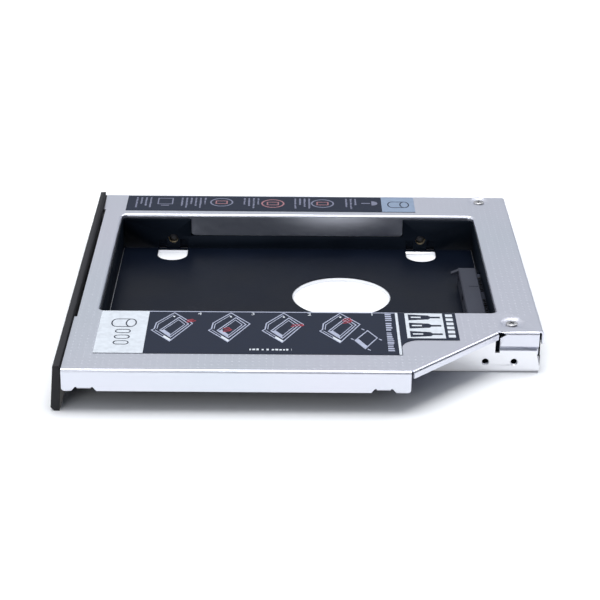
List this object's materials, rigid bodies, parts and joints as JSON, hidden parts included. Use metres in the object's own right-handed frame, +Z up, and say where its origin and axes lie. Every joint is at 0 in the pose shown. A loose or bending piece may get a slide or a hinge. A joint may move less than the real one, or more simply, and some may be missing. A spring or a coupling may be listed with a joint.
{
  "type": "laptop drive caddy",
  "caption": "Optical-bay caddy for a 2.5 inch drive: folded sheet cover and shell round a moulded frame, with a drive socket, a rear plug and a front bezel.",
  "frame": {"origin": "under the middle of the whole caddy, on the underside of the shell and bezel", "axes": "+X from the front bezel to the rear plug, +Y away from the overhanging wing, +Z up through the open bay"},
  "size_m": [0.129, 0.128, 0.0128],
  "materials": {
    "cover_sheet": "satin dimpled sheet",
    "shell_sheet": "satin",
    "frame_moulding": "fine moulded texture",
    "film": "satin film",
    "bezel_moulding": "fine moulded texture",
    "nickel_screw": "nickel plated",
    "brass": "turned",
    "board_laminate": "solder mask",
    "connector_moulding": "moulded",
    "contact_gold": "gold flash",
    "tinned_tab": "tinned",
    "capacitor_body": "ceramic",
    "resistor_body": "ceramic",
    "near_sticker": "printed film",
    "far_sticker": "printed film"
  },
  "bodies": {
    "root": {"top_cover": "cover_sheet", "bottom_shell": "shell_sheet", "drive_frame": "frame_moulding", "insulating_film": "film", "front_bezel": "bezel_moulding", "cover_screws": "nickel_screw", "base_screws": "nickel_screw", "side_screws": "nickel_screw", "board_screws": "nickel_screw", "side_inserts": "brass", "interface_board": "board_laminate", "drive_connector": "connector_moulding", "host_connector": "connector_moulding", "drive_power_contacts": "contact_gold", "drive_signal_contacts": "contact_gold", "host_power_contacts": "contact_gold", "host_signal_contacts": "contact_gold", "drive_connector_pegs": "tinned_tab", "host_connector_pegs": "tinned_tab", "board_capacitors": "capacitor_body", "board_resistors": "resistor_body", "near_label": "near_sticker", "far_label": "far_sticker"}
  },
  "joints": []
}
